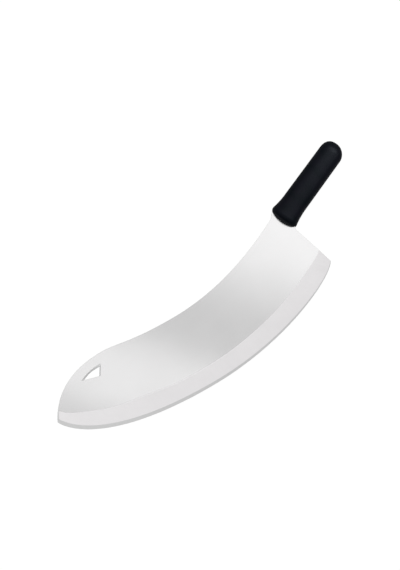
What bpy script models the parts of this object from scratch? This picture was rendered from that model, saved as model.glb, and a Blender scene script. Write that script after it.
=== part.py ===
"""Curved mincing knife: a broad rocking blade with a hang hole, and one moulded handle.

The knife lies flat. X runs along the chord of the cutting edge from the tip corner to the heel
corner, Y points to the hollow spine and Z is square to the blade's faces. The blade is drawn from
its tip corner, and the whole knife is then moved so that the middle of its footprint is at the
origin, with the underside of the handle at Z = 0. Lengths are in metres.
"""

import math

import bmesh
import bpy
from mathutils import Matrix, Vector

MM = 0.001

# Cutting edge, from the tip corner to the heel corner
EDGE_CHORD = 455.7 * MM
EDGE_DEPTH = 68 * MM
EDGE_DEPTH_FROM_TIP = 217.5 * MM
EDGE_TIP_ANGLE = -72
EDGE_TIP_REACH = 10.5 * MM
EDGE_BELLY_REACH_TO_TIP = 178.5 * MM
EDGE_BELLY_REACH_TO_HEEL = 119.9 * MM
EDGE_HEEL_ANGLE = 56.6
EDGE_HEEL_REACH = 25.5 * MM

# Nose and spine
NOSE_ANGLE = 61.5
NOSE_REACH = 21 * MM
NOSE_TOP_X = 104.8 * MM
NOSE_TOP_Y = 55.2 * MM
NOSE_TOP_REACH_TO_TIP = 67.5 * MM
NOSE_TOP_REACH_TO_HANDLE = 29.5 * MM
SPINE_DIP_X = 221.5 * MM
SPINE_DIP_Y = 45 * MM
SPINE_DIP_REACH_TO_TIP = 75 * MM
SPINE_DIP_REACH_TO_HANDLE = 74 * MM
SPINE_END_ANGLE = 26.5
SPINE_END_REACH = 60 * MM

# Blade thickness and grind
BLADE_THICKNESS = 4.0 * MM
EDGE_LAND = 0.3 * MM
BEVEL_WIDTH = 27.5 * MM
BEVEL_WIDTH_AT_TIP = 15.8 * MM
BEVEL_WIDTH_AT_HEEL = 22.7 * MM
BEVEL_TIP_TAPER = 84 * MM
BEVEL_HEEL_TAPER = 61 * MM
BEVEL_TAPER_POWER = 2.5
BEVEL_SWELL = 2.5 * MM
BEVEL_SWELL_FROM_TIP = 137 * MM
BEVEL_SWELL_REACH = 60 * MM
BEVEL_TIP_TURN = 26 * MM
BEVEL_HEEL_TURN = 45 * MM
HONE_ANGLE = 8
HONE_WIDTH_AT_TIP = 5.5 * MM
HONE_WIDTH_AT_HEEL = 0.8 * MM
HONE_TAPER_POWER = 1.5

# Hang hole: two straight sides and one bowed side, each side sloped by its own amount
HOLE_LEFT = (59.9 * MM, 33.4 * MM)
HOLE_BOTTOM = (86.4 * MM, 25.9 * MM)
HOLE_TOP = (96.7 * MM, 41.1 * MM)
HOLE_BOW = 2.2 * MM
HOLE_CORNER_RADIUS = 0.5 * MM
HOLE_SLOPE_BOW_AT_LEFT = 1.5 * MM
HOLE_SLOPE_BOW_AT_TOP = 2.2 * MM
HOLE_SLOPE_BACK = 1.1 * MM
HOLE_SLOPE_BOTTOM = 0.3 * MM
HOLE_WAIST_HEIGHT = 1.2 * MM

# Handle, in its own frame: X along the handle from its blade end, Y to the spine side
HANDLE_SETBACK = 28 * MM
HANDLE_RISE = 86.4 * MM
HANDLE_ANGLE = 22.95
HANDLE_LENGTH = 144.4 * MM
HANDLE_WIDTH = 36.8 * MM
HANDLE_WIDTH_AT_BUTT = 35.5 * MM
HANDLE_THICKNESS = 27 * MM
HANDLE_THICKNESS_AT_BUTT = 25.6 * MM
HANDLE_FLARE_WIDTH = 6.5 * MM
HANDLE_FLARE_THICKNESS = 1.8 * MM
HANDLE_FLARE_START = 7 * MM
HANDLE_FLARE_LENGTH = 29 * MM
HANDLE_SECTION_POWER = 2.4
HANDLE_END_RADIUS = 43 * MM
HANDLE_END_SKEW = -2.5 * MM
HANDLE_END_FILLET = 4.2 * MM
BUTT_LENGTH = 19.5 * MM
BUTT_POWER = 2.15
BUTT_RAKE = 2.2 * MM
BUTT_RAKE_POWER = 1.6

# Neck of the blade, set in from the handle's rim on each side, and its two shoulders
NECK_INSET_SPINE_SIDE = 3.15 * MM
NECK_INSET_BACK_SIDE = 1.15 * MM
SPINE_SHOULDER_AHEAD = 6 * MM
SPINE_SHOULDER_STEP = 4.8 * MM
BACK_SHOULDER_BEHIND = 2.2 * MM
BACK_SHOULDER_STEP = 3 * MM

# Tang and the two plugs that anchor it
TANG_FACE_STEP = 0.5 * MM
TANG_WIDTH = 22 * MM
TANG_END_WIDTH = 17 * MM
TANG_ROOT_DEPTH = 14 * MM
TANG_END_COVER = 46.4 * MM
ANCHOR_HOLE_RADIUS = 4.5 * MM
ANCHOR_HOLE_FROM_SEAT = 34 * MM
ANCHOR_HOLE_FROM_TANG_END = 24 * MM
FIT_GAP = 0.3 * MM

# How far a cutter reaches past what it cuts, and a plug's ends into the handle
CUT_PAST = 1 * MM
PLUG_ROOT = 1 * MM

# Smoothness of the curves
EDGE_STEPS = 120
CURVE_STEPS = 28
FINER = 4
BEVEL_ROWS = 3
SEAT_STEPS = 40
HOLE_BOW_STEPS = 14
HOLE_CORNER_STEPS = 3
TANG_END_STEPS = 12
PIN_SIDES = 24
SECTION_POINTS = 56
END_RINGS = 5
FILLET_RINGS = 5
BODY_RINGS = 16
BODY_RING_SPREAD = 1.5
BUTT_RINGS = 9
SHARP_ANGLE = 30


def direction(degrees):
    angle = math.radians(degrees)
    return Vector((math.cos(angle), math.sin(angle)))


def bezier(start, start_pull, end_pull, end, steps):
    """Points of one curve from start to end, each end leaving along its own pull."""
    a, b, c, d = start, start + start_pull, end + end_pull, end
    points = []
    for step in range(steps + 1):
        t = step / steps
        s = 1 - t
        points.append(s ** 3 * a + 3 * s * s * t * b + 3 * s * t * t * c + t ** 3 * d)
    return points


def lengths_along(points):
    """Distance of each point from the first, measured along the points."""
    total = [0.0]
    for a, b in zip(points, points[1:]):
        total.append(total[-1] + (b - a).length)
    return total


def point_at(points, totals, distance):
    """The point at a distance along a line of points."""
    for a, b, start, end in zip(points, points[1:], totals, totals[1:]):
        if distance <= end:
            return a.lerp(b, (distance - start) / (end - start))
    return points[-1].copy()


def even_points(points, steps):
    totals = lengths_along(points)
    return [point_at(points, totals, totals[-1] * step / steps) for step in range(steps + 1)]


def tip_corner():
    return Vector((0, 0))


def heel_corner():
    return Vector((EDGE_CHORD, 0))


def handle_place():
    """Where the handle's own frame sits on the blade's drawing."""
    return Vector((EDGE_CHORD - HANDLE_SETBACK, HANDLE_RISE))


def from_handle(x, y):
    along = direction(HANDLE_ANGLE)
    across = Vector((-along.y, along.x))
    return handle_place() + along * x + across * y


def edge_line():
    """The cutting edge: two curves that meet level at the belly."""
    belly = Vector((EDGE_DEPTH_FROM_TIP, -EDGE_DEPTH))
    level = Vector((1, 0))
    fine = FINER * EDGE_STEPS
    front = bezier(tip_corner(), direction(EDGE_TIP_ANGLE) * EDGE_TIP_REACH,
                   -level * EDGE_BELLY_REACH_TO_TIP, belly, fine)
    rear = bezier(belly, level * EDGE_BELLY_REACH_TO_HEEL,
                  -direction(EDGE_HEEL_ANGLE) * EDGE_HEEL_REACH, heel_corner(), fine)
    return even_points(front + rear[1:], EDGE_STEPS)


def nose_line():
    """The rounded free end, from the tip corner to its highest point."""
    top = Vector((NOSE_TOP_X, NOSE_TOP_Y))
    return bezier(tip_corner(), direction(NOSE_ANGLE) * NOSE_REACH,
                  Vector((-NOSE_TOP_REACH_TO_TIP, 0)), top, FINER * CURVE_STEPS)


def spine_line():
    """The hollow spine, from the top of the nose to the neck's shoulder."""
    top = Vector((NOSE_TOP_X, NOSE_TOP_Y))
    dip = Vector((SPINE_DIP_X, SPINE_DIP_Y))
    end = from_handle(-SPINE_SHOULDER_AHEAD, neck_to_spine_side() - SPINE_SHOULDER_STEP)
    fall = bezier(top, Vector((NOSE_TOP_REACH_TO_HANDLE, 0)),
                  Vector((-SPINE_DIP_REACH_TO_TIP, 0)), dip, CURVE_STEPS)
    rise = bezier(dip, Vector((SPINE_DIP_REACH_TO_HANDLE, 0)),
                  -direction(SPINE_END_ANGLE) * SPINE_END_REACH, end, CURVE_STEPS)
    return fall + rise[1:]


def back_line():
    """The straight back edge, from the heel corner up to the neck's shoulder."""
    return [heel_corner(), from_handle(BACK_SHOULDER_BEHIND, -neck_to_back_side() - BACK_SHOULDER_STEP)]


def handle_half(x, size, size_at_butt, flare_size):
    """Half of one of the handle's sizes at a distance from its blade end, before the butt closes."""
    past_rim = max(0.0, x - HANDLE_FLARE_START)
    flare = max(0.0, 1 - past_rim / HANDLE_FLARE_LENGTH) ** 2
    return (size + (size_at_butt - size) * x / HANDLE_LENGTH + flare_size * flare) / 2


def handle_half_width(x):
    return handle_half(x, HANDLE_WIDTH, HANDLE_WIDTH_AT_BUTT, HANDLE_FLARE_WIDTH)


def handle_half_thickness(x):
    return handle_half(x, HANDLE_THICKNESS, HANDLE_THICKNESS_AT_BUTT, HANDLE_FLARE_THICKNESS)


def neck_to_spine_side():
    """Half width of the neck's end from the handle's middle line to the spine side."""
    return handle_half_width(HANDLE_FLARE_START) - NECK_INSET_SPINE_SIDE


def neck_to_back_side():
    return handle_half_width(HANDLE_FLARE_START) - NECK_INSET_BACK_SIDE


def end_dome(y, z):
    """How far the handle's bulged blade end lies behind its foremost point."""
    reach_squared = (y - HANDLE_END_SKEW) ** 2 + z * z
    return HANDLE_END_RADIUS - math.sqrt(HANDLE_END_RADIUS ** 2 - reach_squared)


def seat_x(y):
    """The handle's blade end at mid thickness, its rounded rim included."""
    inset = handle_half_width(HANDLE_FLARE_START) - abs(y)
    lean = max(0.0, HANDLE_END_FILLET - inset)
    drop = HANDLE_END_FILLET - math.sqrt(HANDLE_END_FILLET ** 2 - lean ** 2)
    return end_dome(y, 0) + drop


def seat_line():
    """The hollow end of the blade's neck, a fit gap in front of the handle's bulged end."""
    start, span = neck_to_spine_side(), neck_to_spine_side() + neck_to_back_side()
    places = [start - span * step / SEAT_STEPS for step in range(SEAT_STEPS + 1)]
    rim = [Vector((seat_x(y), y)) for y in places]
    points = []
    for index, point in enumerate(rim):
        along = rim[min(index + 1, SEAT_STEPS)] - rim[max(index - 1, 0)]
        clear = point + Vector((along.y, -along.x)).normalized() * FIT_GAP
        points.append(from_handle(clear.x, clear.y))
    return points


def bevel_width(from_tip, from_heel):
    """Width of the ground band at a place on the edge, given its distance from both corners."""
    near_tip = max(0.0, 1 - from_tip / BEVEL_TIP_TAPER) ** BEVEL_TAPER_POWER
    near_heel = max(0.0, 1 - from_heel / BEVEL_HEEL_TAPER) ** BEVEL_TAPER_POWER
    narrower = (BEVEL_WIDTH - BEVEL_WIDTH_AT_TIP) * near_tip
    narrower += (BEVEL_WIDTH - BEVEL_WIDTH_AT_HEEL) * near_heel
    off_swell = (from_tip - BEVEL_SWELL_FROM_TIP) / BEVEL_SWELL_REACH
    swell = BEVEL_SWELL * max(0.0, 1 - off_swell ** 2) ** 2
    return BEVEL_WIDTH - narrower + swell


def hone_width(from_tip, whole):
    share = (from_tip / whole) ** HONE_TAPER_POWER
    return HONE_WIDTH_AT_TIP + (HONE_WIDTH_AT_HEEL - HONE_WIDTH_AT_TIP) * share


def grind_columns():
    """Lines across the ground band, each a list of (point, height above mid plane) from the edge in.

    A line is square to the edge, except near the two corners, where it turns until the first
    and the last one lie along the blade's own outline.
    """
    edge = edge_line()
    totals = lengths_along(edge)
    nose = nose_line()
    back = back_line()
    nose_totals = lengths_along(nose)
    back_totals = lengths_along(back)
    half = BLADE_THICKNESS / 2
    columns = []
    for index, point in enumerate(edge):
        before = edge[max(index - 1, 0)]
        after = edge[min(index + 1, EDGE_STEPS)]
        along = (after - before).normalized()
        inward = Vector((-along.y, along.x))
        from_tip = totals[index]
        from_heel = totals[-1] - from_tip
        turn_tip = max(0.0, 1 - from_tip / BEVEL_TIP_TURN) ** 2
        turn_heel = max(0.0, 1 - from_heel / BEVEL_HEEL_TURN) ** 2
        width = bevel_width(from_tip, from_heel)
        hone = hone_width(from_tip, totals[-1])
        hone_height = EDGE_LAND / 2 + hone * math.tan(math.radians(HONE_ANGLE))
        reaches = [0.0] + [hone + (width - hone) * row / BEVEL_ROWS for row in range(BEVEL_ROWS + 1)]
        heights = [EDGE_LAND / 2]
        heights += [hone_height + (half - hone_height) * row / BEVEL_ROWS for row in range(BEVEL_ROWS + 1)]
        column = []
        for reach, height in zip(reaches, heights):
            square = inward * reach
            on_nose = point_at(nose, nose_totals, reach) - tip_corner()
            on_back = point_at(back, back_totals, reach) - heel_corner()
            step_in = square.lerp(on_nose, turn_tip).lerp(on_back, turn_heel)
            column.append((point + step_in, height))
        columns.append(column)
    return columns


def rest_of_outline():
    """The outline at full thickness, from the ground band's tip end round to its heel end."""
    nose = nose_line()
    totals = lengths_along(nose)
    start = BEVEL_WIDTH_AT_TIP
    run = totals[-1] - start
    points = [point_at(nose, totals, start + run * step / CURVE_STEPS) for step in range(1, CURVE_STEPS)]
    points += spine_line()
    points += seat_line()
    points.append(back_line()[-1])
    return points


def new_object(name, mesh_builder, parent):
    mesh = bpy.data.meshes.new(name)
    bm = bmesh.new()
    mesh_builder(bm)
    bmesh.ops.recalc_face_normals(bm, faces=bm.faces)
    bm.to_mesh(mesh)
    bm.free()
    piece = bpy.data.objects.new(name, mesh)
    piece.parent = parent
    bpy.context.scene.collection.objects.link(piece)
    return piece


def combine(piece, operation, tool):
    step = piece.modifiers.new(f"{operation.lower()} {tool.name}", "BOOLEAN")
    step.operation = operation
    step.solver = "EXACT"
    step.object = tool


def build_slab(bm):
    """The ground blade without its hole and tang: grind strips, two flats and the walls between."""
    columns = grind_columns()
    rest = rest_of_outline()
    sides = []
    for side in (1, -1):
        grid = [[bm.verts.new((p.x, p.y, side * z)) for p, z in column] for column in columns]
        outline = [bm.verts.new((p.x, p.y, side * BLADE_THICKNESS / 2)) for p in rest]
        sides.append((grid, outline))
        grind = []
        for left, right in zip(grid, grid[1:]):
            for row in range(len(left) - 1):
                grind.append(bm.faces.new((left[row], right[row], right[row + 1], left[row + 1])))
        bmesh.ops.triangulate(bm, faces=grind)
        bm.faces.new([column[-1] for column in grid] + outline[::-1])
    (top_grid, top_rest), (low_grid, low_rest) = sides
    top_loop = [column[0] for column in top_grid] + top_grid[-1][1:] + top_rest[::-1] + top_grid[0][:0:-1]
    low_loop = [column[0] for column in low_grid] + low_grid[-1][1:] + low_rest[::-1] + low_grid[0][:0:-1]
    count = len(top_loop)
    for index in range(count):
        after = (index + 1) % count
        bm.faces.new((top_loop[index], top_loop[after], low_loop[after], low_loop[index]))


def extrude_loops(bm, loops):
    """A closed solid through loops of equal count, stacked in order."""
    rings = [[bm.verts.new(p) for p in loop] for loop in loops]
    for low, high in zip(rings, rings[1:]):
        for index in range(len(low)):
            after = (index + 1) % len(low)
            bm.faces.new((low[index], low[after], high[after], high[index]))
    bm.faces.new(rings[0])
    bm.faces.new(rings[-1])


def inset_line(a, b, inset_at_a, inset_at_b):
    """The line from a to b with each end moved to its left by its inset, as a point and a direction."""
    along = (b - a).normalized()
    left = Vector((-along.y, along.x))
    start = a + left * inset_at_a
    return start, (b + left * inset_at_b - start).normalized()


def crossing(first, second):
    (p, d), (q, e) = first, second
    denominator = d.x * e.y - d.y * e.x
    t = ((q.x - p.x) * e.y - (q.y - p.y) * e.x) / denominator
    return p + d * t


def rounded_corner(before, corner, after):
    """An arc of about the hole's corner radius in place of a corner."""
    into = (before - corner).normalized()
    out = (after - corner).normalized()
    cut = HOLE_CORNER_RADIUS / math.tan(into.angle(out) / 2)
    cut = min(cut, (before - corner).length / 2, (after - corner).length / 2)
    start, end = corner + into * cut, corner + out * cut
    arc = []
    for step in range(HOLE_CORNER_STEPS + 1):
        t = step / HOLE_CORNER_STEPS
        arc.append((1 - t) ** 2 * start + 2 * (1 - t) * t * corner + t * t * end)
    return arc


def hole_loop(narrowing):
    """The hang hole's outline, each side moved in by its own slope times the narrowing."""
    left, bottom, top = Vector(HOLE_LEFT), Vector(HOLE_BOTTOM), Vector(HOLE_TOP)
    low_inset = HOLE_SLOPE_BOTTOM * narrowing
    back_inset = HOLE_SLOPE_BACK * narrowing
    low_side = inset_line(left, bottom, low_inset, low_inset)
    back_side = inset_line(bottom, top, back_inset, back_inset)
    bow_side = inset_line(top, left, HOLE_SLOPE_BOW_AT_TOP * narrowing, HOLE_SLOPE_BOW_AT_LEFT * narrowing)
    left, bottom, top = crossing(bow_side, low_side), crossing(low_side, back_side), crossing(back_side, bow_side)
    outward = Vector((top.y - left.y, -(top.x - left.x))).normalized() * -HOLE_BOW
    bow = []
    for step in range(1, HOLE_BOW_STEPS):
        t = step / HOLE_BOW_STEPS
        bow.append(top.lerp(left, t) + outward * (4 * t * (1 - t)))
    corners = ((bow[-1], left, bottom), (left, bottom, top), (bottom, top, bow[0]))
    return [point for corner in corners for point in rounded_corner(*corner)] + bow


def build_hole_tool(bm):
    """A waisted plug: widest at the blade's two faces and narrowest between them."""
    waist = HOLE_WAIST_HEIGHT / 2
    end = BLADE_THICKNESS / 2 + CUT_PAST
    wider = -CUT_PAST / (BLADE_THICKNESS / 2 - waist)
    levels = [(-end, wider), (-waist, 1), (waist, 1), (end, wider)]
    extrude_loops(bm, [[(p.x, p.y, z) for p in hole_loop(narrowing)] for z, narrowing in levels])


def tang_length():
    """The tang's reach into the handle, from the handle's blade end."""
    return HANDLE_LENGTH - TANG_END_COVER


def tang_thickness():
    return BLADE_THICKNESS - 2 * TANG_FACE_STEP


def build_tongue(bm, grow):
    """The tang with its root in the neck, or with all its sides moved out by a gap, its slot."""
    root, tip = TANG_WIDTH / 2 + grow, TANG_END_WIDTH / 2 + grow
    centre = tang_length() - TANG_END_WIDTH / 2
    outline = [(-TANG_ROOT_DEPTH, root), (-TANG_ROOT_DEPTH, -root)]
    for step in range(TANG_END_STEPS + 1):
        angle = math.radians(-90 + 180 * step / TANG_END_STEPS)
        outline.append((centre + tip * math.cos(angle), tip * math.sin(angle)))
    half = tang_thickness() / 2 + grow
    extrude_loops(bm, [[(x, y, z) for x, y in outline] for z in (-half, half)])


def build_pins(bm, radius, height):
    """One upright round pin at each anchor hole."""
    for x in (ANCHOR_HOLE_FROM_SEAT, tang_length() - ANCHOR_HOLE_FROM_TANG_END):
        bmesh.ops.create_cone(bm, cap_ends=True, segments=PIN_SIDES, radius1=radius, radius2=radius,
                              depth=height, matrix=Matrix.Translation((x, 0, 0)))


def section_point(angle, half_width, half_thickness):
    """A point on the handle's rounded section."""
    power = 2 / HANDLE_SECTION_POWER
    c, s = math.cos(angle), math.sin(angle)
    return (math.copysign(abs(c) ** power, c) * half_width, math.copysign(abs(s) ** power, s) * half_thickness)


def handle_rings():
    """Rings of the handle from the middle of its bulged end, over the rounded rim, to the butt."""
    angles = [2 * math.pi * step / SECTION_POINTS for step in range(SECTION_POINTS)]
    width, thickness = handle_half_width(HANDLE_FLARE_START), handle_half_thickness(HANDLE_FLARE_START)
    rings = []
    for step in range(1, END_RINGS + 1):
        share = step / END_RINGS
        sizes = ((width - HANDLE_END_FILLET) * share, (thickness - HANDLE_END_FILLET) * share)
        rings.append([(end_dome(y, z), y, z) for y, z in (section_point(a, *sizes) for a in angles)])
    for step in range(1, FILLET_RINGS + 1):
        turn = math.radians(90 * step / FILLET_RINGS)
        inset = HANDLE_END_FILLET * (1 - math.sin(turn))
        drop = HANDLE_END_FILLET * (1 - math.cos(turn))
        sizes = (width - inset, thickness - inset)
        rings.append([(end_dome(y, z) + drop, y, z) for y, z in (section_point(a, *sizes) for a in angles)])
    rim = rings[-1]
    butt_start = HANDLE_LENGTH - BUTT_LENGTH
    for step in range(1, BODY_RINGS + 1):
        share = (step / BODY_RINGS) ** BODY_RING_SPREAD
        ring = []
        for angle, (rim_x, _, _) in zip(angles, rim):
            x = rim_x + (butt_start - rim_x) * share
            ring.append((x, *section_point(angle, handle_half_width(x), handle_half_thickness(x))))
        rings.append(ring)
    for step in range(1, BUTT_RINGS):
        turn = math.radians(90 * step / BUTT_RINGS)
        share = math.sin(turn)
        x = butt_start + BUTT_LENGTH * share
        closing = (1 - share ** BUTT_POWER) ** (1 / BUTT_POWER)
        sizes = (handle_half_width(x) * closing, handle_half_thickness(x) * closing)
        rake = BUTT_RAKE * share ** BUTT_RAKE_POWER
        rings.append([(x, y + rake, z) for y, z in (section_point(a, *sizes) for a in angles)])
    return rings


def build_handle_body(bm):
    rings = [[bm.verts.new(p) for p in ring] for ring in handle_rings()]
    count = SECTION_POINTS
    for low, high in zip(rings, rings[1:]):
        for index in range(count):
            after = (index + 1) % count
            bm.faces.new((low[index], low[after], high[after], high[index]))
    front = bm.verts.new((end_dome(0, 0), 0, 0))
    butt = bm.verts.new((HANDLE_LENGTH, BUTT_RAKE, 0))
    for index in range(count):
        after = (index + 1) % count
        bm.faces.new((rings[0][index], rings[0][after], front))
        bm.faces.new((rings[-1][index], rings[-1][after], butt))


def handle_matrix():
    place = handle_place()
    return Matrix.Translation((place.x, place.y, 0)) @ Matrix.Rotation(math.radians(HANDLE_ANGLE), 4, "Z")


def plain_material(name, colour, metallic, roughness):
    material = bpy.data.materials.new(name)
    material.use_nodes = True
    shader = material.node_tree.nodes["Principled BSDF"]
    shader.inputs["Base Color"].default_value = (*colour, 1)
    shader.inputs["Metallic"].default_value = metallic
    shader.inputs["Roughness"].default_value = roughness
    material.diffuse_color = (*colour, 1)
    return material


def add_tool(name, root, place, builder, *sizes):
    """A hidden solid that cuts or joins another."""
    tool = new_object(name, lambda bm: builder(bm, *sizes), root)
    tool.matrix_local = place
    tool.hide_render = True
    tool.display_type = "WIRE"
    return tool


def make_blade(root):
    blade = new_object("blade", build_slab, root)
    blade.data.materials.append(plain_material("brushed_steel", (0.78, 0.78, 0.79), 1.0, 0.3))
    tang = add_tool("tang_tool", root, handle_matrix(), build_tongue, 0)
    anchor_holes = add_tool("anchor_hole_tool", root, handle_matrix(), build_pins,
                            ANCHOR_HOLE_RADIUS, BLADE_THICKNESS + 2 * CUT_PAST)
    hang_hole = add_tool("hang_hole_tool", root, Matrix(), build_hole_tool)
    combine(blade, "UNION", tang)
    combine(blade, "DIFFERENCE", anchor_holes)
    combine(blade, "DIFFERENCE", hang_hole)
    return blade


def make_handle(root):
    handle = new_object("handle", build_handle_body, root)
    handle.matrix_local = handle_matrix()
    handle.data.materials.append(plain_material("black_plastic", (0.012, 0.013, 0.016), 0.0, 0.45))
    plug_height = tang_thickness() + 2 * FIT_GAP + 2 * PLUG_ROOT
    slot = add_tool("tang_slot_tool", root, handle_matrix(), build_tongue, FIT_GAP)
    plugs = add_tool("anchor_plug_tool", root, handle_matrix(), build_pins,
                     ANCHOR_HOLE_RADIUS - FIT_GAP, plug_height)
    combine(handle, "DIFFERENCE", slot)
    combine(handle, "UNION", plugs)
    handle.data.shade_smooth()
    handle.data.set_sharp_from_angle(angle=math.radians(SHARP_ANGLE))
    return handle


def stand_on_origin(root, pieces):
    """Move the knife so that its footprint is centred and its lowest point is at zero."""
    bpy.context.view_layer.update()
    corners = [piece.matrix_world @ vert.co for piece in pieces for vert in piece.data.vertices]
    low = Vector([min(c[axis] for c in corners) for axis in range(3)])
    high = Vector([max(c[axis] for c in corners) for axis in range(3)])
    root.location = (-(low.x + high.x) / 2, -(low.y + high.y) / 2, -low.z)


def main():
    for item in list(bpy.data.objects):
        bpy.data.objects.remove(item)
    root = bpy.data.objects.new("knife", None)
    bpy.context.scene.collection.objects.link(root)
    blade = make_blade(root)
    handle = make_handle(root)
    stand_on_origin(root, (blade, handle))


main()
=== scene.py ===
"""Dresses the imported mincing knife: satin steel with a ground band and a honed edge, and a black
moulded grip, under soft studio light. Lengths are in metres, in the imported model's frame.
"""

import math

import bmesh
import bpy
from mathutils import Matrix, Vector
from mathutils.bvhtree import BVHTree


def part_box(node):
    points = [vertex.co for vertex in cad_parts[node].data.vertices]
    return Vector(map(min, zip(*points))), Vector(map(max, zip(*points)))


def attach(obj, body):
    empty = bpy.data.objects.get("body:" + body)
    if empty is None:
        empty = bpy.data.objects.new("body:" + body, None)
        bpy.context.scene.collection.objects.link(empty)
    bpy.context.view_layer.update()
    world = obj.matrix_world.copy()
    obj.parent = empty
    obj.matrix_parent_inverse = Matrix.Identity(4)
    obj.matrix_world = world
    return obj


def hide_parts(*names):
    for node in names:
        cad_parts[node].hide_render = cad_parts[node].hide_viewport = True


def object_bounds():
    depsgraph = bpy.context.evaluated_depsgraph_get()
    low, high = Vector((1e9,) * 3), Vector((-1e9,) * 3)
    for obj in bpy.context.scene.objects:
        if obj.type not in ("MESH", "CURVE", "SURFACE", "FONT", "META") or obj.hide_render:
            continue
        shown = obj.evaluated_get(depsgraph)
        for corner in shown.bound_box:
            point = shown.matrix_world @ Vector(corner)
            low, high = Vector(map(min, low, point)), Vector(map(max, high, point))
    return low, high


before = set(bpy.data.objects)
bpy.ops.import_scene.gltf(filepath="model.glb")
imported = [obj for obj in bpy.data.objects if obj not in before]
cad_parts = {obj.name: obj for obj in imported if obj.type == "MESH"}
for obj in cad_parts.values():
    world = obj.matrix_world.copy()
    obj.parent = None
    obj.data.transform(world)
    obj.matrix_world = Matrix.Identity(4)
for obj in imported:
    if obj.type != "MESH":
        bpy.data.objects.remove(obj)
cad_low, cad_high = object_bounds()

MM = 0.001
UP = Vector((0, 0, 1))

# The photograph's view of the blade's plane
CAMERA_DISTANCE = 6
FRAME_HEIGHT = 801.2 * MM
SENSOR_MM = 36
VIEW_CENTRE = Vector((278.36 * MM, 66.44 * MM, 0))
VIEW_TURN = 32.189
VIEW_TILT = 20
VIEW_LEAN = 10.97

# Materials
FULL_MIX = 1
# The colour sockets of a Mix node go by number, because their names repeat
MIX_FIRST, MIX_SECOND, MIX_RESULT = 6, 7, 2
STEEL_CLOUD_SCALE = 22
PLASTIC_CLOUD_SCALE = 60
PLASTIC_PIT_SCALE = 1600
PLASTIC_PIT_DEPTH = 0.07 * MM
PLASTIC_ROUGHNESS_SPREAD = 0.05
PLASTIC_DARK = (0.0008, 0.0022, 0.004, 1)
PLASTIC_PALE = (0.0038, 0.0036, 0.0072, 1)
PLASTIC_SHEEN_TINT = (0.8, 0.89, 1, 1)

# Zones of the blade, told apart by how steep a face is
FACE, BAND, EDGE, WALL = range(4)
FLAT_COSINE = 0.99999
GROUND_COSINE = 0.95
RIM_COSINE = 0.9
EDGE_LAND = 0.2 * MM
EDGE_PAST = 40 * MM
EDGE_DIGITS = 6
MERGE = 0.001 * MM
COPLANAR = 0.02
RIM_CHAMFER = 0.25 * MM
RIM_SEGMENTS = 2
RIM_PROFILE = 0.5
HOLE_MIDDLE = Vector((79.1 * MM, 0, 0))
HONED_END_WIDTH = 2.1 * MM
TIP_WALL_REACH = 3 * MM
TIP_BAND_REACH = 20 * MM
CREASE = 35

# Handle, in its own frame: X along the handle from its blade end, Y to the spine side
HANDLE_PLACE = Vector((427.7 * MM, 86.4 * MM, 0))
HANDLE_TURN = 22.95
HANDLE_LENGTH = 144.26 * MM
HANDLE_WIDTH = 36.8 * MM
HANDLE_WIDTH_AT_BUTT = 35.3 * MM
HANDLE_THICKNESS = 27 * MM
HANDLE_THICKNESS_AT_BUTT = 25.6 * MM
FLARE_WIDTH = 6.5 * MM
FLARE_THICKNESS = 1.79 * MM
FLARE_START = 7 * MM
FLARE_LENGTH = 29 * MM
SECTION_POWER = 2.4
END_RADIUS = 43 * MM
END_SKEW = -2.5 * MM
END_FILLET = 4.2 * MM
END_REACH = 0.3 * MM
BUTT_LENGTH = 19.5 * MM
BUTT_START = HANDLE_LENGTH - BUTT_LENGTH
BUTT_POWER = 2.15
BUTT_RAKE = 2.2 * MM
BUTT_RAKE_POWER = 1.6
SECTION_POINTS = 96
END_RINGS = 12
FILLET_RINGS = 10
DULL_FILLET_RINGS = 3
RIM_TRIES = 8
BODY_RINGS = 80
BODY_RING_SPREAD = 1.5
BUTT_RINGS = 28
SEAM_HEIGHT = 0.1 * MM
SEAM_OFFSETS = (0.15 * MM, 0.3 * MM)
SLOT_GAP = 0.02 * MM
HANDLE_CREASE = 30

# Floor
FLOOR_SIZE = 30
FLOOR_PARTS = 8
FLOOR_DROP = 0.05 * MM
FLOOR_COLOUR = (0.1, 0.1, 0.1, 1)
FLOOR_ROUGHNESS = 0.9
FLOOR_GLOW = 0.97
WHITE = (1, 1, 1, 1)

# Soft lights, placed by what the blade's face mirrors to the camera
LIGHT_HEIGHT = 0.5
LIGHT_TURN = 18
SKY_HIGH = 0.845
SKY_LOW = 0.33
SKY_FADES = (0.5, 0.93)


def measure_blade():
    """The blade's tip corner at mid thickness and half its thickness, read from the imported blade."""
    low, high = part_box("blade")
    foremost = min(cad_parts["blade"].data.vertices, key=lambda vertex: vertex.co.x)
    return Vector((foremost.co.x, foremost.co.y, (low.z + high.z) / 2)), (high.z - low.z) / 2


TIP, BLADE_HALF = measure_blade()


def link(name, data):
    piece = bpy.data.objects.new(name, data)
    bpy.context.scene.collection.objects.link(piece)
    return piece


# Camera

def image_axes():
    """Directions on the blade's plane that run right and up in the picture."""
    turn = math.radians(VIEW_TURN)
    return Vector((math.cos(turn), -math.sin(turn), 0)), Vector((math.sin(turn), math.cos(turn), 0))


def towards_camera():
    right, up = image_axes()
    lean, tilt = math.radians(VIEW_LEAN), math.radians(VIEW_TILT)
    level = -right * math.sin(lean) - up * math.cos(lean)
    return UP * math.cos(tilt) + level * math.sin(tilt)


def camera_place():
    return TIP + VIEW_CENTRE + towards_camera() * CAMERA_DISTANCE


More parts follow.
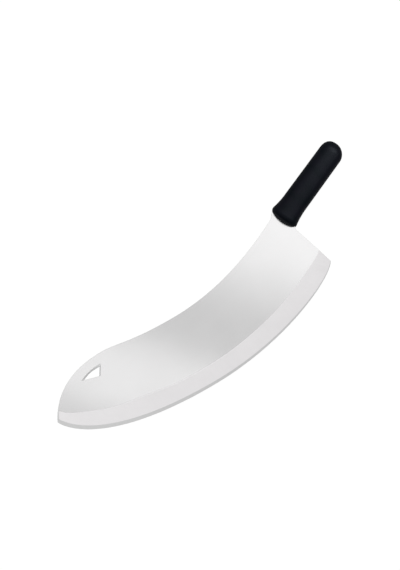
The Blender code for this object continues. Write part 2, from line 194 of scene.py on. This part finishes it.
def make_camera():
    lens = bpy.data.cameras.new("camera")
    lens.sensor_fit = "VERTICAL"
    lens.sensor_height = SENSOR_MM
    lens.lens = SENSOR_MM * CAMERA_DISTANCE / FRAME_HEIGHT
    camera = link("camera", lens)
    back = towards_camera()
    tilt = UP.rotation_difference(back)
    right, up = (tilt @ axis for axis in image_axes())
    axes = Matrix((right, up, back)).transposed().to_4x4()
    camera.matrix_world = Matrix.Translation(camera_place()) @ axes
    bpy.context.scene.camera = camera


# Materials

def new_material(name):
    material = bpy.data.materials.new(name)
    material.use_nodes = True
    return material, material.node_tree, material.node_tree.nodes["Principled BSDF"]


def add_node(tree, kind, settings=None, **inputs):
    """A node with its settings and inputs set; an input is a value or another node's output."""
    node = tree.nodes.new(kind)
    for name, value in (settings or {}).items():
        setattr(node, name, value)
    for name, value in inputs.items():
        socket = node.inputs[name.replace("_", " ")]
        if isinstance(value, bpy.types.NodeSocket):
            tree.links.new(value, socket)
        else:
            socket.default_value = value
    return node


def steel(name, colour, roughness, spread, pitch, length, depth):
    """Bare steel with fine lines: the grain map's U runs across the lines and its V along them."""
    material, tree, shader = new_material(name)
    grain = add_node(tree, "ShaderNodeUVMap", {"uv_map": "grain"})
    lines = add_node(tree, "ShaderNodeMapping", Vector=grain.outputs["UV"],
                     Scale=(1 / pitch, 1 / length, 1))
    scratch = add_node(tree, "ShaderNodeTexNoise", {"noise_dimensions": "2D"},
                       Vector=lines.outputs["Vector"], Scale=1, Detail=3, Roughness=0.6)
    place = add_node(tree, "ShaderNodeTexCoord")
    cloud = add_node(tree, "ShaderNodeTexNoise", Vector=place.outputs["Object"],
                     Scale=STEEL_CLOUD_SCALE, Detail=2)
    tone = add_node(tree, "ShaderNodeMapRange", Value=cloud.outputs["Fac"], From_Min=0.3, From_Max=0.7,
                    To_Min=0.985, To_Max=1.015)
    tint = add_node(tree, "ShaderNodeMix", {"data_type": "RGBA", "blend_type": "MULTIPLY"})
    tint.inputs["Factor"].default_value = FULL_MIX
    tint.inputs[MIX_FIRST].default_value = (*colour, 1)
    tree.links.new(tone.outputs["Result"], tint.inputs[MIX_SECOND])
    dull = add_node(tree, "ShaderNodeMapRange", Value=scratch.outputs["Fac"], From_Min=0.25, From_Max=0.75,
                    To_Min=roughness - spread, To_Max=roughness + spread)
    bump = add_node(tree, "ShaderNodeBump", Height=scratch.outputs["Fac"], Distance=depth, Strength=1)
    tree.links.new(tint.outputs[MIX_RESULT], shader.inputs["Base Color"])
    tree.links.new(dull.outputs["Result"], shader.inputs["Roughness"])
    tree.links.new(bump.outputs["Normal"], shader.inputs["Normal"])
    shader.inputs["Metallic"].default_value = 1
    return material


def grip_plastic(name, roughness, gloss):
    """Black moulded plastic with the fine pitted skin of a spark-eroded mould."""
    material, tree, shader = new_material(name)
    place = add_node(tree, "ShaderNodeTexCoord").outputs["Object"]
    skin = add_node(tree, "ShaderNodeTexNoise", Vector=place, Scale=PLASTIC_PIT_SCALE, Detail=2,
                    Roughness=0.5)
    cloud = add_node(tree, "ShaderNodeTexNoise", Vector=place, Scale=PLASTIC_CLOUD_SCALE, Detail=3)
    tone = add_node(tree, "ShaderNodeValToRGB", Fac=cloud.outputs["Fac"])
    dark, pale = tone.color_ramp.elements
    dark.position = 0.35
    dark.color = PLASTIC_DARK
    pale.position = 0.65
    pale.color = PLASTIC_PALE
    dull = add_node(tree, "ShaderNodeMapRange", Value=skin.outputs["Fac"], From_Min=0.3, From_Max=0.7,
                    To_Min=roughness - PLASTIC_ROUGHNESS_SPREAD,
                    To_Max=roughness + PLASTIC_ROUGHNESS_SPREAD)
    bump = add_node(tree, "ShaderNodeBump", Height=skin.outputs["Fac"], Distance=PLASTIC_PIT_DEPTH,
                    Strength=1)
    tree.links.new(tone.outputs["Color"], shader.inputs["Base Color"])
    tree.links.new(dull.outputs["Result"], shader.inputs["Roughness"])
    tree.links.new(bump.outputs["Normal"], shader.inputs["Normal"])
    shader.inputs["Specular IOR Level"].default_value = gloss
    shader.inputs["Specular Tint"].default_value = PLASTIC_SHEEN_TINT
    return material


def blade_materials():
    """Steel finishes in the order of the blade's zones."""
    return (
        steel("satin_steel_face", (0.66, 0.656, 0.658), roughness=0.2, spread=0.02,
              pitch=0.5 * MM, length=60 * MM, depth=0.002 * MM),
        steel("ground_steel_band", (0.838, 0.823, 0.831), roughness=0.46, spread=0.04,
              pitch=0.4 * MM, length=25 * MM, depth=0.004 * MM),
        steel("honed_steel_edge", (0.71, 0.71, 0.71), roughness=0.55, spread=0.05,
              pitch=0.25 * MM, length=6 * MM, depth=0.004 * MM),
        steel("cut_steel_wall", (0.9, 0.9, 0.9), roughness=0.6, spread=0.05,
              pitch=0.3 * MM, length=12 * MM, depth=0.004 * MM),
    )


# Blade

def packed_blade():
    """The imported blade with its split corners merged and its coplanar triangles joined."""
    bm = bmesh.new()
    bm.from_mesh(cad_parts["blade"].data)
    bmesh.ops.remove_doubles(bm, verts=bm.verts, dist=MERGE)
    bmesh.ops.dissolve_limit(bm, angle_limit=math.radians(COPLANAR), verts=bm.verts, edges=bm.edges)
    bm.normal_update()
    return bm


def at_full_thickness(piece):
    return all(abs(abs(vert.co.z - TIP.z) - BLADE_HALF) < MERGE for vert in piece.verts)


def flat_side_faces(bm):
    return [face for face in bm.faces if abs(face.normal.z) > FLAT_COSINE and at_full_thickness(face)]


def join_flats(bm):
    """Joins each flat side into two faces that part on a line through the hang hole, so that no
    long sliver ends on a rim that is rounded later."""
    flats = flat_side_faces(bm)
    edges = {edge for face in flats for edge in face.edges}
    verts = {vert for face in flats for vert in face.verts}
    middle = TIP + HOLE_MIDDLE
    bmesh.ops.bisect_plane(bm, geom=[*flats, *edges, *verts], dist=MERGE, plane_co=middle,
                           plane_no=(1, 0, 0))
    bm.normal_update()
    parts = {}
    for face in flat_side_faces(bm):
        centre = face.calc_center_median()
        parts.setdefault((centre.x < middle.x, centre.z < middle.z), []).append(face)
    for part in parts.values():
        bmesh.ops.dissolve_faces(bm, faces=part, use_verts=False)
    bmesh.ops.dissolve_verts(bm, verts=[vert for vert in bm.verts if len(vert.link_edges) == 2])
    bm.normal_update()


def is_rim(edge):
    """True where a flat face at full thickness meets a wall."""
    if len(edge.link_faces) != 2 or not at_full_thickness(edge):
        return False
    steep, flat = sorted(abs(face.normal.z) for face in edge.link_faces)
    return steep < RIM_COSINE and flat > FLAT_COSINE


def round_rims(bm):
    """Rounds the rims of the flat sides, lays these flat again, and gives back the rounded faces."""
    rims = [edge for edge in bm.edges if is_rim(edge)]
    made = bmesh.ops.bevel(bm, geom=rims, offset=RIM_CHAMFER, segments=RIM_SEGMENTS,
                           profile=RIM_PROFILE, affect="EDGES")
    rounded = set(made["faces"])
    bm.normal_update()
    for vert in {vert for face in flat_side_faces(bm) for vert in face.verts}:
        vert.co.z = TIP.z + math.copysign(BLADE_HALF, vert.co.z - TIP.z)
    return rounded


def distance_to_tip(face):
    return min((vert.co - TIP).length for vert in face.verts)


def zone_of(face):
    slope = abs(face.normal.z)
    if slope > FLAT_COSINE:
        return FACE
    if slope < GROUND_COSINE:
        return WALL
    nearest = min(abs(vert.co.z - TIP.z) for vert in face.verts)
    return EDGE if nearest < EDGE_LAND else BAND


def band_near_tip(bm):
    return [face for face in bm.faces
            if zone_of(face) == BAND and distance_to_tip(face) < TIP_BAND_REACH]


def honed_end(bm):
    """The strip of the band along the blunt free end, where the honed strip turns the corner."""
    walls = [face for face in bm.faces
             if zone_of(face) == WALL and distance_to_tip(face) < TIP_WALL_REACH]
    outward = max(walls, key=lambda face: face.calc_area()).normal.copy()
    inner = TIP - outward * HONED_END_WIDTH
    near = band_near_tip(bm)
    edges = {edge for face in near for edge in face.edges}
    verts = {vert for face in near for vert in face.verts}
    bmesh.ops.bisect_plane(bm, geom=[*near, *edges, *verts], dist=MERGE, plane_co=inner,
                           plane_no=outward)
    return {face for face in band_near_tip(bm)
            if (face.calc_center_median() - inner).dot(outward) > 0}


def edge_path(bm):
    """The cutting edge from tip to heel and a little past both, as (point, distance along it)."""
    land = [vert.co for vert in bm.verts if abs(vert.co.z - TIP.z) < EDGE_LAND]
    ends = {(round(place.x, EDGE_DIGITS), round(place.y, EDGE_DIGITS)) for place in land}
    points = [Vector(end) for end in sorted(ends)]
    before = points[0] + (points[0] - points[1]).normalized() * EDGE_PAST
    after = points[-1] + (points[-1] - points[-2]).normalized() * EDGE_PAST
    points = [before, *points, after]
    path = [(before, 0.0)]
    for point in points[1:]:
        before, run = path[-1]
        path.append((point, run + (point - before).length))
    return path


def place_by_edge(path, place):
    """Distance along the cutting edge of the nearest point on it, and distance from that point."""
    best = None
    for (start, run), (end, _) in zip(path, path[1:]):
        along = end - start
        share = max(0.0, min(1.0, (place - start).dot(along) / along.length_squared))
        away = (place - start - along * share).length
        if best is None or away < best[1]:
            best = (run + along.length * share, away)
    return best


def map_grain(bm):
    """A map in metres: U across the steel's fine lines, V along them."""
    layer = bm.loops.layers.uv.new("grain")
    path = edge_path(bm)
    by_edge = {}
    for face in bm.faces:
        for loop in face.loops:
            place = loop.vert.co
            if face.material_index == FACE:
                loop[layer].uv = (place.y, place.x)
            elif face.material_index == WALL:
                loop[layer].uv = (place.z, place.x + place.y)
            else:
                if loop.vert not in by_edge:
                    by_edge[loop.vert] = place_by_edge(path, place.xy)
                loop[layer].uv = by_edge[loop.vert]


def make_blade():
    bm = packed_blade()
    join_flats(bm)
    rounded = round_rims(bm)
    zones = dict.fromkeys(honed_end(bm), EDGE)
    zones.update(dict.fromkeys(rounded, WALL))
    for face in bm.faces:
        face.material_index = zones[face] if face in zones else zone_of(face)
        face.smooth = True
    map_grain(bm)
    for edge in bm.edges:
        kinds = {face.material_index for face in edge.link_faces}
        edge.smooth = len(kinds) == 1 and edge.calc_face_angle(0) < math.radians(CREASE)
    mesh = bpy.data.meshes.new("steel_blade")
    bm.to_mesh(mesh)
    bm.free()
    for material in blade_materials():
        mesh.materials.append(material)
    blade = link("steel_blade", mesh)
    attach(blade, "root")
    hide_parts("blade")
    return blade


# Handle

def half_size(x, size, size_at_butt, flare_size):
    """Half of one of the handle's sizes at a distance from its blade end, before the butt closes."""
    flare = max(0.0, 1 - max(0.0, x - FLARE_START) / FLARE_LENGTH) ** 2
    return (size + (size_at_butt - size) * x / HANDLE_LENGTH + flare_size * flare) / 2


def half_width(x):
    return half_size(x, HANDLE_WIDTH, HANDLE_WIDTH_AT_BUTT, FLARE_WIDTH)


def half_thickness(x):
    return half_size(x, HANDLE_THICKNESS, HANDLE_THICKNESS_AT_BUTT, FLARE_THICKNESS)


def end_dome(y, z):
    """Where the handle's bulged blade end lies, a little forward so that it closes on the blade."""
    return END_RADIUS - math.sqrt(END_RADIUS ** 2 - (y - END_SKEW) ** 2 - z * z) - END_REACH


def section_angles():
    """Angles round the section with how much of the seam's height each one carries."""
    angles = [(2 * math.pi * step / SECTION_POINTS, 0) for step in range(SECTION_POINTS)]
    half = SECTION_POINTS // 2
    angles[0] = (angles[0][0], 1)
    angles[half] = (angles[half][0], 1)
    widest = SEAM_OFFSETS[-1]
    for offset in SEAM_OFFSETS:
        turn = math.asin((2 * offset / HANDLE_THICKNESS) ** (SECTION_POWER / 2))
        share = 1 - (offset / widest) ** 2
        both_sides = (turn, 2 * math.pi - turn, math.pi - turn, math.pi + turn)
        angles += [(angle, share) for angle in both_sides]
    return sorted(angles)


def section_point(angle, half_y, half_z):
    power = 2 / SECTION_POWER
    c, s = math.cos(angle), math.sin(angle)
    return math.copysign(abs(c) ** power, c) * half_y, math.copysign(abs(s) ** power, s) * half_z


def rim_place(angle):
    """How far along the handle its side starts, past the rounded rim of the bulged end."""
    x = FLARE_START
    for _ in range(RIM_TRIES):
        x = end_dome(*section_point(angle, half_width(x), half_thickness(x))) + END_FILLET
    return x


def end_ring(angles, rims, share, inset, drop):
    """A ring on the bulged end or its rounded rim, drawn in from the rim and set back from the
    bulge."""
    ring = []
    for angle, x in zip(angles, rims):
        sizes = ((half_width(x) - inset) * share, (half_thickness(x) - inset) * share)
        y, z = section_point(angle, *sizes)
        ring.append((end_dome(y, z) + drop, y, z))
    return ring


def body_ring(angles, rims, share):
    """A ring on the handle's side, at a share of the way from its rims to its butt."""
    places = [x + (BUTT_START - x) * share for x in rims]
    return [(x, *section_point(angle, half_width(x), half_thickness(x)))
            for angle, x in zip(angles, places)]


def butt_ring(angles, share):
    """A ring on the rounded butt, which rakes to the spine side as it closes."""
    x = BUTT_START + BUTT_LENGTH * share
    closing = (1 - share ** BUTT_POWER) ** (1 / BUTT_POWER)
    rake = BUTT_RAKE * share ** BUTT_RAKE_POWER
    sizes = (half_width(x) * closing, half_thickness(x) * closing)
    return [(x, y + rake, z) for y, z in (section_point(angle, *sizes) for angle in angles)]


def handle_rings(angles):
    """Rings of the handle from the middle of its bulged end, over the rounded rim, to the butt."""
    rims = [rim_place(angle) for angle in angles]
    rings = [end_ring(angles, rims, step / END_RINGS, END_FILLET, 0)
             for step in range(1, END_RINGS + 1)]
    for step in range(1, FILLET_RINGS + 1):
        turn = math.radians(90 * step / FILLET_RINGS)
        inset, drop = END_FILLET * (1 - math.sin(turn)), END_FILLET * (1 - math.cos(turn))
        rings.append(end_ring(angles, rims, 1, inset, drop))
    for step in range(1, BODY_RINGS + 1):
        rings.append(body_ring(angles, rims, (step / BODY_RINGS) ** BODY_RING_SPREAD))
    for step in range(1, BUTT_RINGS):
        rings.append(butt_ring(angles, math.sin(math.radians(90 * step / BUTT_RINGS))))
    return rings


def handle_skin():
    """The handle's outer skin with its thin raised mould seam, closed at both ends."""
    seam = section_angles()
    angles = [angle for angle, _ in seam]
    bm = bmesh.new()
    rings = [[bm.verts.new(point) for point in ring] for ring in handle_rings(angles)]
    count = len(angles)
    for number, (low, high) in enumerate(zip(rings, rings[1:])):
        for index in range(count):
            after = (index + 1) % count
            face = bm.faces.new((low[index], low[after], high[after], high[index]))
            face.material_index = int(number < END_RINGS + DULL_FILLET_RINGS)
    front = bm.verts.new((end_dome(0, 0), 0, 0))
    butt = bm.verts.new((HANDLE_LENGTH, BUTT_RAKE, 0))
    for index in range(count):
        after = (index + 1) % count
        bm.faces.new((rings[0][index], rings[0][after], front)).material_index = 1
        bm.faces.new((rings[-1][index], rings[-1][after], butt))
    bmesh.ops.recalc_face_normals(bm, faces=bm.faces)
    bm.normal_update()
    for ring in rings[END_RINGS:]:
        for vert, (_, share) in zip(ring, seam):
            vert.co += vert.normal * SEAM_HEIGHT * share
    return bm


def tang_tool():
    """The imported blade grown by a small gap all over, to cut the tang's room out of the handle."""
    bm = packed_blade()
    for vert in bm.verts:
        vert.co += vert.normal * SLOT_GAP * vert.calc_shell_factor()
    mesh = bpy.data.meshes.new("tang_tool")
    bm.to_mesh(mesh)
    bm.free()
    return link("tang_tool", mesh)


def cut_tang_room(handle):
    tool = tang_tool()
    cut = handle.modifiers.new("tang room", "BOOLEAN")
    cut.operation = "DIFFERENCE"
    cut.solver = "EXACT"
    cut.object = tool
    cut_handle = handle.evaluated_get(bpy.context.evaluated_depsgraph_get())
    handle.data = bpy.data.meshes.new_from_object(cut_handle)
    handle.data.name = "moulded_handle"
    handle.modifiers.clear()
    bpy.data.objects.remove(tool)


def make_handle():
    bm = handle_skin()
    mesh = bpy.data.meshes.new("moulded_handle")
    turn = Matrix.Rotation(math.radians(HANDLE_TURN), 4, "Z")
    bm.transform(Matrix.Translation(TIP + HANDLE_PLACE) @ turn)
    bm.to_mesh(mesh)
    bm.free()
    mesh.materials.append(grip_plastic("black_moulded_plastic", roughness=0.39, gloss=0.12))
    mesh.materials.append(grip_plastic("dull_moulded_plastic", roughness=0.55, gloss=0.09))
    handle = link("moulded_handle", mesh)
    cut_tang_room(handle)
    handle.data.shade_smooth()
    handle.data.set_sharp_from_angle(angle=math.radians(HANDLE_CREASE))
    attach(handle, "root")
    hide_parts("handle")
    return handle


# Stage

def resting_plane():
    """A point and the upward normal of the plane that the knife rests on when it is laid down."""
    hull = bmesh.new()
    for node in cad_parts.values():
        hull.from_mesh(node.data)
    bmesh.ops.convex_hull(hull, input=hull.verts)
    low = Vector((0, 0, cad_low.z - 1))
    place, normal, _, _ = BVHTree.FromBMesh(hull).ray_cast(low, UP)
    hull.free()
    return place, normal if normal.z > 0 else -normal


def make_floor():
    place, normal = resting_plane()
    bpy.ops.mesh.primitive_grid_add(x_subdivisions=FLOOR_PARTS, y_subdivisions=FLOOR_PARTS,
                                    size=FLOOR_SIZE)
    floor = bpy.context.object
    floor.name = "floor"
    turn = UP.rotation_difference(normal).to_matrix().to_4x4()
    floor.matrix_world = Matrix.Translation(place - normal * FLOOR_DROP) @ turn
    material, _, shader = new_material("pale_floor")
    shader.inputs["Base Color"].default_value = FLOOR_COLOUR
    shader.inputs["Roughness"].default_value = FLOOR_ROUGHNESS
    shader.inputs["Specular IOR Level"].default_value = 0
    shader.inputs["Emission Color"].default_value = WHITE
    shader.inputs["Emission Strength"].default_value = FLOOR_GLOW
    floor.data.materials.append(material)
    floor.visible_glossy = False


def light_axes():
    """Directions across and along the light bands that the blade's face mirrors."""
    right, up = image_axes()
    turn = math.radians(LIGHT_TURN)
    across = -right * math.sin(turn) - up * math.cos(turn)
    along = right * math.cos(turn) - up * math.sin(turn)
    return across, along


def mirrored_place(distance):
    """The point at the lights' height that the camera sees in the blade's face, at a distance
    across the bands from the middle of the picture."""
    across, _ = light_axes()
    seen = TIP + VIEW_CENTRE + UP * BLADE_HALF + across * distance
    ray = seen - camera_place()
    ray.z = -ray.z
    return seen + ray * (LIGHT_HEIGHT / ray.z)


def light_only(light, piece):
    """Shades every piece but one from a light."""
    lit = bpy.data.collections.new("lit_by_" + light.name)
    lit.objects.link(piece)
    light.light_linking.receiver_collection = lit


def make_soft_light(name, piece, start, end, shift, length, radiance):
    """A soft box for one piece. It shows in the blade's face between two distances across the
    bands, and the shift moves it along them."""
    across, along = light_axes()
    first, last = mirrored_place(start), mirrored_place(end)
    lamp = bpy.data.lights.new(name, "AREA")
    lamp.shape = "RECTANGLE"
    lamp.size = length
    lamp.size_y = (last - first).length
    lamp.energy = radiance * math.pi * lamp.size * lamp.size_y
    light = link(name, lamp)
    axes = Matrix((along, -across, UP)).transposed().to_4x4()
    light.matrix_world = Matrix.Translation((first + last) / 2 + along * shift) @ axes
    light.visible_camera = False
    light_only(light, piece)


def make_sky():
    """Soft light from overhead that fades towards the horizon."""
    world = bpy.data.worlds.new("studio")
    world.use_nodes = True
    tree = world.node_tree
    place = add_node(tree, "ShaderNodeTexCoord")
    height = add_node(tree, "ShaderNodeSeparateXYZ", Vector=place.outputs["Generated"])
    fade = add_node(tree, "ShaderNodeMapRange", {"interpolation_type": "SMOOTHSTEP"},
                    Value=height.outputs["Z"], From_Min=SKY_FADES[0], From_Max=SKY_FADES[1],
                    To_Min=SKY_LOW, To_Max=SKY_HIGH)
    background = tree.nodes["Background"]
    background.inputs["Color"].default_value = WHITE
    tree.links.new(fade.outputs["Result"], background.inputs["Strength"])
    bpy.context.scene.world = world


def make_light(blade, handle):
    make_soft_light("soft_box_grip", handle, start=-0.44, end=-0.32, shift=0.25, length=0.27, radiance=13.5)
    make_soft_light("soft_box_side", handle, start=-0.36, end=-0.21, shift=0.56, length=0.15, radiance=6)
    make_soft_light("soft_box_heel", blade, start=-0.3, end=-0.05, shift=0.09, length=0.5, radiance=0.56)
    make_soft_light("soft_box_middle", blade, start=-0.05, end=0.002, shift=0.09, length=0.5, radiance=0.27)
    make_soft_light("soft_box_tip", blade, start=0.11, end=0.218, shift=-0.03, length=0.5, radiance=0.48)
    make_soft_light("soft_box_front", blade, start=0.31, end=0.6, shift=-0.08, length=0.5, radiance=0.36)
    make_sky()


make_camera()
steel_blade = make_blade()
moulded_handle = make_handle()
make_floor()
make_light(steel_blade, moulded_handle)
bpy.context.scene.view_settings.view_transform = "Standard"
